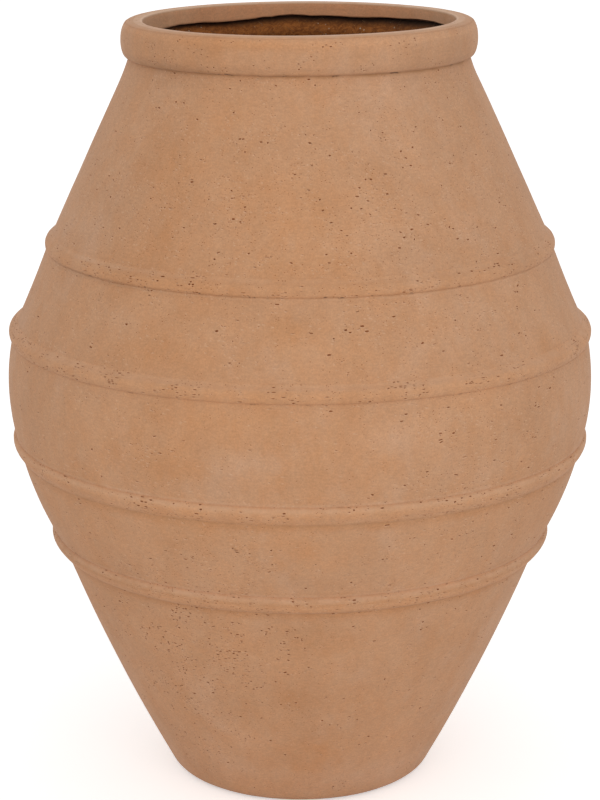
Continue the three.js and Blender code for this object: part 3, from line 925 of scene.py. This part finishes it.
def rimOutline():
    mouth, top, step = rim["mouth"], rim["top"], rim["step"]
    under = top - rim["lipDepth"]
    points = [rim["seat"]]
    points += [row + (1.0,) for row in smoothLine(rim["outside"], step)]
    # the groove round the land takes painted shade, and the land and the mouth's edge take painted
    # highlight
    points += [(radius, height, 0.9, 0.0, wear) for radius, height, wear in rim["groove"]]
    for start, end, wear in (((166.2, top - 0.75), (mouth + 9.5, top - 0.15), 0.1),
                             ((mouth + 8.0, top - 0.1), (mouth + 2.8, top), 0.65)):
        points += [row + (0.0, wear) for row in stretch(start, end, rim["landStep"], 1.0)]
    points += [(mouth + 1.5, top - 0.05, 0.9, 0.0, 1.35), (mouth + 0.5, top - 0.4, 0.9, 0.0, 1.5),
               (mouth + 0.1, top - 1.1, 0.9, 0.0, 1.0, 0.5)]
    points += [row + (0.0, 0.0, 1.0) for row in stretch((mouth, top - 2), (mouth, under + 3.4), step, 0.0)]
    points += [(mouth + out, under + up, *rest) for out, up, *rest in rim["lipUnder"]]
    return points + rim["lipBack"]


dress("rim_collar", rimOutline(), makeClay("rimClay", microPits=0.05), "clay", **rim)


# Base slab: rounded edge, flat resting ring, shallow recess and drain hole
base = {
    "flat": 114.9, "rounding": 21.1, "ring": 19.0, "recess": 6.0, "top": 18.0, "hole": 16.0, "bevel": 1.0,
    "wallInside": 124.1, "share": 0.03, "smallness": 2.0, "seed": 41, "sides": 384,
}


def slabOutline():
    keys = ("flat", "rounding", "recess", "top", "bevel", "hole", "wallInside")
    flat, rounding, recess, top, bevel, hole, inside = (base[key] for key in keys)
    wallFoot, seam = wall["ends"][0]
    inner, lip = flat - base["ring"], hole + bevel
    slope = math.degrees(math.acos((wallFoot - flat) / rounding))
    points = roundPoints((inner - bevel, bevel), bevel, -180, -90, 3, 0.9)[1:]
    points += stretch((inner + 2, 0), (flat, 0), 3, 1.0)[:-1]
    points += roundPoints((flat, rounding), rounding, -90, -slope, 9, 1.0)[:-1]
    points += [(wallFoot, seam, 0.9), (inside, seam, 0.0), (inside, top, 0.0)]
    points += stretch((100, top), (30, top), 30, 0.0)
    points += roundPoints((lip, top - bevel), bevel, 90, 180, 3, 0.0)
    points += roundPoints((lip, recess + bevel), bevel, 180, 270, 3, 0.0)
    points += stretch((hole + 4, recess), (inner - recess - 2, recess), 4, 1.0)
    return points + stretch((inner - recess, recess - 0.3), (inner - 2.4, 1.6), 2, 1.0)


dress("base_slab", slabOutline(), wallClay, "clay", **base)


# Fibre lining: rough skins behind the clay, with loose fibres on them
lining = {
    "depth": 9.3, "thickness": 3.0, "sides": 420, "step": 3.0, "hiddenStep": 25,
    "backTop": 736, "skinTop": 733.4, "hangFrom": 715, "hangRise": 20, "hangMost": 0.8,
    "rough": 0.7 * mm, "lumps": (130.0, 5.0, 0.7), "lumpMiddle": 0.62, "lumpGain": 4.0,
    "strandSize": (0.5, 1.3), "strandFrom": 0.9,
    "bellyTop": 503.5, "bellyLow": 295.75, "floorTop": 21.3, "floorLow": 18.3, "floorHole": 16,
}


def makeFibreTree():
    given = newTree(
        "dressFibre", "Geometry",
        [("Mat", "Geometry"), ("Rough", "Float", 1.0 * mm), ("Strands", "Float", 2000.0),
         ("Bundle", "Collection"), ("Seed", "Int", 1), ("Slurry", "Material"), ("Straw", "Material")],
        [("Mat", "Geometry")])
    wavy = add("GeometryNodeGroup", {"Clay": given["Mat"]}, node_tree=waverTree)
    normal = add("GeometryNodeInputNormal").outputs[0]
    skin = painted("skin")
    lumps = swing(position(), *lining["lumps"], middle=lining["lumpMiddle"])
    push = times(times(lumps, skin), times(given["Rough"], lining["lumpGain"]))
    rough = moved(wavy, vectorCalc("SCALE", normal, push))
    smooth = add("GeometryNodeSetShadeSmooth", {"Geometry": rough, "Shade Smooth": True})
    spots = add("GeometryNodeDistributePointsOnFaces",
                {"Mesh": rough, "Selection": calc("GREATER_THAN", skin, lining["strandFrom"]),
                 "Density": given["Strands"], "Seed": given["Seed"]})
    local = add("FunctionNodeEulerToRotation", {0: vector(z=roll(given["Seed"], 0.0, math.tau))})
    turn = add("FunctionNodeRotateRotation", {0: spots.outputs["Rotation"], 1: local},
               rotation_space="LOCAL")
    size = roll(calc("ADD", given["Seed"], 3), *lining["strandSize"])
    laid = scatter(spots, given["Bundle"], {"Rotation": turn, "Scale": size})
    # the mat comes with its own finish, and what hasn't one is a strand
    isMat = add("GeometryNodeMaterialSelection", {"Material": given["Slurry"]})
    isStrand = add("FunctionNodeBooleanMath", {0: isMat}, operation="NOT")
    whole = join(laid, smooth)
    return finishTree({"Mat": coated(whole, given["Straw"], {"Selection": isStrand})})


fibreTree = makeFibreTree()
strands = {"kinds": 6, "seed": 8, "length": (5, 11), "thick": 0.16 * mm, "tip": 0.4, "bend": 0.7,
           "turn": 0.4, "joints": 5, "lift": 0.1 * mm, "arch": 0.35 * mm}


def makeStrands():
    chance = random.Random(strands["seed"])
    bundle = bpy.data.collections.new("strandBundle")
    last = strands["joints"] - 1
    for number in range(strands["kinds"]):
        length = chance.uniform(*strands["length"]) * mm
        bends = [chance.uniform(-strands["bend"], strands["bend"]) for joint in range(last)]
        x, y, heading = -length / 2, 0.0, chance.uniform(-strands["turn"], strands["turn"])
        points, faces = [], []
        for joint in range(last + 1):
            lift = strands["lift"] + strands["arch"] * math.sin(joint / last * math.pi)
            size = strands["thick"] * (strands["tip"] if joint in (0, last) else 1.0)
            for k in range(3):
                angle = k / 3 * math.tau
                points.append((x, y + size * math.cos(angle), lift + size * math.sin(angle)))
            if joint < last:
                heading += bends[joint]
                x += length / last * math.cos(heading)
                y += length / last * math.sin(heading)
                for k in range(3):
                    here, after = joint * 3 + k, joint * 3 + (k + 1) % 3
                    faces.append((here, after, after + 3, here + 3))
        faces += [(2, 1, 0), (last * 3, last * 3 + 1, last * 3 + 2)]
        mesh = newMesh(f"strand{number}", points, [], faces)
        bundle.objects.link(bpy.data.objects.new(mesh.name, mesh))
    return bundle


strandBundle = makeStrands()

# Colours and noise fields of the fibre, in the order in which they lie over each other
fibre = {
    "dark": (0.175, 0.049, 0.006, 1), "light": (0.365, 0.12, 0.021, 1), "warp": (90.0, 3.0), "warpBy": 0.02,
    "patches": (190.0, 5.0, 0.7, 0.34, 0.66), "patchHigh": 1.9,
    "speck": (0.5, 0.22, 0.07, 1), "specks": (420.0, 3.0, 0.7, 0.6, 0.7, 0.0, 0.5),
    "gritColour": (0.52, 0.46, 0.34, 1), "gritScale": 260.0, "gritEdge": (0.14, 0.3), "gritStrength": 0.65,
    "gritLimit": (30.0, 2.0, 0.5, 0.38, 0.62, 1.0, 0.72),
    # shade and top are painted shade, on the right of the lining and behind the lip, and glow is a painted
    # pool of light
    "shade": (0.09, 0.03, 0.006, 1), "shadeSpan": (0.06, 0.13, 0.0, 0.45),
    "glow": (0.62, 0.22, 0.05, 1), "glowSpan": (0.69, 0.722, 0.25, 0), "glowMiddle": (0.05, 0.12, 1, 0.2),
    "top": (0.012, 0.006, 0.003, 1), "topFrom": (-0.1, -0.02, 0.7397, 0.7355), "topTo": 0.7444,
    "lipShadeShare": 0.9,
    "bumps": (300.0, 5.0, 0.7), "bump": 0.8, "bumpHeight": 0.8 * mm, "roughness": 0.95,
    "straw": (45.0, 2.0, 0.5, 0.35, 0.65), "strawRoughness": 0.8,
    "strawPale": (0.34, 0.17, 0.07, 1), "strawDark": (0.16, 0.07, 0.028, 1),
}


def makeSlurry():
    material, shader = newMaterial("fibreSlurry")
    place = position()
    aside, height = axes(place)[::2]
    warp = times(noise(place, *fibre["warp"]), fibre["warpBy"])
    wiry = vectorCalc("ADD", place, vectorCalc("SCALE", (1, 1, 1), warp))
    wiry = vectorCalc("MULTIPLY", wiry, (1, 1, fibre["patchHigh"]))
    colour = mixColour(field(wiry, *fibre["patches"]), fibre["dark"], fibre["light"])
    colour = mixColour(field(place, *fibre["specks"]), colour, fibre["speck"])
    grit = dotted(place, fibre["gritScale"], fibre["gritEdge"], fibre["gritStrength"],
                  field(place, *fibre["gritLimit"]))[0]
    colour = mixColour(grit, colour, fibre["gritColour"])
    colour = mixColour(ramp(aside, *fibre["shadeSpan"]), colour, fibre["shade"])
    # glow: a painted pool of light on the middle of the lining, lower down
    middle = ramp(calc("ABSOLUTE", aside), *fibre["glowMiddle"])
    glow = times(ramp(height, *fibre["glowSpan"]), middle)
    colour = mixColour(glow, colour, fibre["glow"])
    # painted shade: the top behind the lip is dark, as in the lip's shadow, and follows its edge
    level = calc("SUBTRACT", height, painted("hang"))
    lipShadeShare = ramp(level, ramp(aside, *fibre["topFrom"]), fibre["topTo"], 0.0, fibre["lipShadeShare"])
    bumps = bump(noise(place, *fibre["bumps"]), fibre["bump"], fibre["bumpHeight"])
    feed(shader, {"Base Color": mixColour(lipShadeShare, colour, fibre["top"]), "Normal": bumps,
                  "Roughness": fibre["roughness"]})
    return material


def makeStraw():
    material, shader = newMaterial("paleStraw")
    colour = mixColour(field(position(), *fibre["straw"]), fibre["strawPale"], fibre["strawDark"])
    feed(shader, {"Base Color": colour, "Roughness": fibre["strawRoughness"]})
    return material


slurry, straw = makeSlurry(), makeStraw()


def matOutline(low, high):
    outer = face(lining["depth"], low, high, lining["hiddenStep"])
    return outer + face(lining["depth"] + lining["thickness"], high, low, lining["step"], 1.0)


def neckMatOutline():
    # the last value is how far a row follows the lip's edge up and down
    outer = face(lining["depth"], lining["bellyTop"], lining["backTop"], lining["hiddenStep"])
    outer += [(162.9, 743.85, 0.0, 1.0), (162.9, 745.4, 0.0, 1.0)]
    inner = [(161.8, 745.4, 0.2, 1), (161.2, 744.6, 0.3, 1), (158.4, 743.4, 0.8, 1), (156.3, 741.6, 1, 1),
             (154.3, 739, 1, 1), (152.4, 736.2, 1, 0.9)]
    for row in face(lining["depth"] + lining["thickness"], lining["skinTop"], lining["bellyTop"],
                    lining["step"], 1.0):
        hang = (row[1] - lining["hangFrom"]) / lining["hangRise"]
        inner.append(row + (max(0.0, min(lining["hangMost"], hang)),))
    return outer + inner


def floorOutline():
    low, top, hole = lining["floorLow"], lining["floorTop"], lining["floorHole"]
    edge = radiusAt(low, lining["depth"])
    points = [(hole, low, 0.0), (edge, low, 0.0), (edge, top, 0.5)]
    return points + stretch((edge - 3, top), (hole + 4, top), 4, 1.0) + [(hole, top, 0.5)]


mats = {
    "neck_lining": (neckMatOutline(), 9000.0, 51),
    "belly_lining": (matOutline(lining["bellyLow"], lining["bellyTop"]), 3500.0, 52),
    "foot_lining": (matOutline(lining["floorTop"], lining["bellyLow"]), 3500.0, 53),
    "floor_lining": (floorOutline(), 3500.0, 54),
}  # outline, strands to the square metre, seed
for name, (outline, density, seed) in mats.items():
    piece = turned("fibre_" + name, outline, lining["sides"], slurry)
    hangLip(piece.data)
    runTree(piece, fibreTree, {"Rough": lining["rough"], "Strands": density, "Bundle": strandBundle,
                               "Seed": seed, "Slurry": slurry, "Straw": straw})
    settle(piece, name, "jar")


# Rubber bung, as points of radius and height. The plug's heights are over the ground, those of flange and
# dish over the seat, where the flange lies on the floor lining, and those of one rib over its own foot.
bung = {
    "seat": 21.6, "sides": 96, "crispFrom": 50, "corner": 1.2,
    "plug": [(0, 7.5), (11, 7.5), (14.0, 7.7), (14.7, 8.4), (15.0, 11), (15.5, 18), (15.7, 21.6)],
    "flange": [(23.6, 0), (24.6, 0.3), (25, 1.0), (25, 2.8)],
    "dish": [(19, 4.0), (18.4, 3.5), (17.4, 3.4), (11, 3.5), (9.0, 4.2), (8.2, 5.4)],
    "ribs": 4, "ribFrom": 6.4, "ribPitch": 2.3, "rib": [(8.0, 0), (7.5, 0.5), (7.5, 0.9), (8.0, 1.4)],
    "dark": (0.03, 0.029, 0.027, 1), "dust": (0.12, 0.085, 0.06, 1),
    "dusty": (90.0, 4.0, 0.6, 0.45, 0.75, 0.0, 0.5), "roughness": (0.0, 0.5, 0.5, 0.75),
    "grain": 1400.0, "bump": (0.2, 0.1 * mm),
}


def bungOutline():
    seat, corner = bung["seat"], bung["corner"]
    points = bung["plug"] + [(radius, seat + up) for radius, up in bung["flange"]]
    points += roundPoints((23.8, seat + 2.8), corner, 0, 90, 5, 0)[1:]
    points += [(radius, seat + up) for radius, up in bung["dish"]]
    for number in range(bung["ribs"]):
        low = seat + bung["ribFrom"] + number * bung["ribPitch"]
        points += [(radius, low + up) for radius, up in bung["rib"]]
    points += roundPoints((6.8, seat + 15.8), corner, 0, 90, 5, 0)
    return points + [(4.0, seat + 16.7), (0, seat + 16.5)]


def makeBungTree():
    given = newTree("dressRubber", "Geometry", [("Rubber", "Geometry"), ("Finish", "Material")],
                    [("Rubber", "Geometry")])
    smooth = smoothed(given["Rubber"], bung["crispFrom"])
    return finishTree({"Rubber": coated(smooth, given["Finish"])})


def makeRubber():
    material, shader = newMaterial("bungRubber")
    place = position()
    dust = field(place, *bung["dusty"])
    feed(shader, {"Base Color": mixColour(dust, bung["dark"], bung["dust"]),
                  "Roughness": ramp(dust, *bung["roughness"]),
                  "Normal": bump(noise(place, bung["grain"]), *bung["bump"])})
    return material


rubber = makeRubber()
bungPiece = turned("rubber_drain_bung", bungOutline(), bung["sides"], rubber, isRing=False)
runTree(bungPiece, makeBungTree(), {"Finish": rubber})
settle(bungPiece, "drain_bung", "bung")


# Studio: pale floor, white surround, one big soft light from the front and above
studio = {
    "floorSize": 30.0, "floorColour": (0.94, 0.94, 0.94, 1), "floorLift": 0.45,
    "ambient": 0.705, "keyPower": 33.3, "keySize": 4.0, "keyPlace": (0.35, -3.4, 1.3),
    "keyAim": (0, 0, 0.4),
}


def seenAsIs():
    # by the camera itself, or in something shiny or clear
    path = add("ShaderNodeLightPath").outputs
    return calc("MAXIMUM", path["Is Camera Ray"],
                calc("MAXIMUM", path["Is Glossy Ray"], path["Is Transmission Ray"]))


def makeFloor():
    half = studio["floorSize"] / 2
    points = [(-half, -half, 0), (half, -half, 0), (half, half, 0), (-half, half, 0)]
    mesh = newMesh("studio_floor", points, [], [(0, 1, 2, 3)])
    floor = placed("studio_floor", mesh)
    material, shader = newMaterial("paleFloor")
    feed(shader, {
        "Base Color": studio["floorColour"], "Roughness": 1.0, "Specular IOR Level": 0.0,
        "Emission Color": (1, 1, 1, 1), "Emission Strength": times(seenAsIs(), studio["floorLift"])})
    mesh.materials.append(material)


def makeSurround():
    world = begin(bpy.data.worlds.new("surround"))
    strength = calc("MULTIPLY_ADD", seenAsIs(), 1.0 - studio["ambient"], studio["ambient"])
    background = add("ShaderNodeBackground", {"Color": (1, 1, 1, 1), "Strength": strength})
    add("ShaderNodeOutputWorld", {"Surface": background})
    bpy.context.scene.world = world


def makeKeyLight():
    light = bpy.data.lights.new("key", "AREA")
    light.shape = "DISK"
    light.size = studio["keySize"]
    light.energy = studio["keyPower"]
    lamp = placed("key", light)
    lamp.location = studio["keyPlace"]
    x, y, z = np.array(studio["keyAim"]) - np.array(studio["keyPlace"])
    lamp.rotation_euler = (math.atan2(math.hypot(x, y), -z), 0, math.atan2(-x, y))


# Camera at the photograph's angle
shot = {"place": (0, -2.5664, 1.0609), "pitch": 75.15, "lens": 119.04, "sensor": 36.0, "clip": (0.05, 100)}


def makeCamera():
    data = bpy.data.cameras.new("camera")
    data.lens = shot["lens"]
    data.sensor_width = shot["sensor"]
    data.clip_start, data.clip_end = shot["clip"]
    camera = placed("camera", data)
    camera.location = shot["place"]
    camera.rotation_euler = (math.radians(shot["pitch"]), 0, 0)
    bpy.context.scene.camera = camera


makeFloor()
makeSurround()
makeKeyLight()
makeCamera()
bpy.context.scene.view_settings.view_transform = "Standard"
print("studio and camera made")
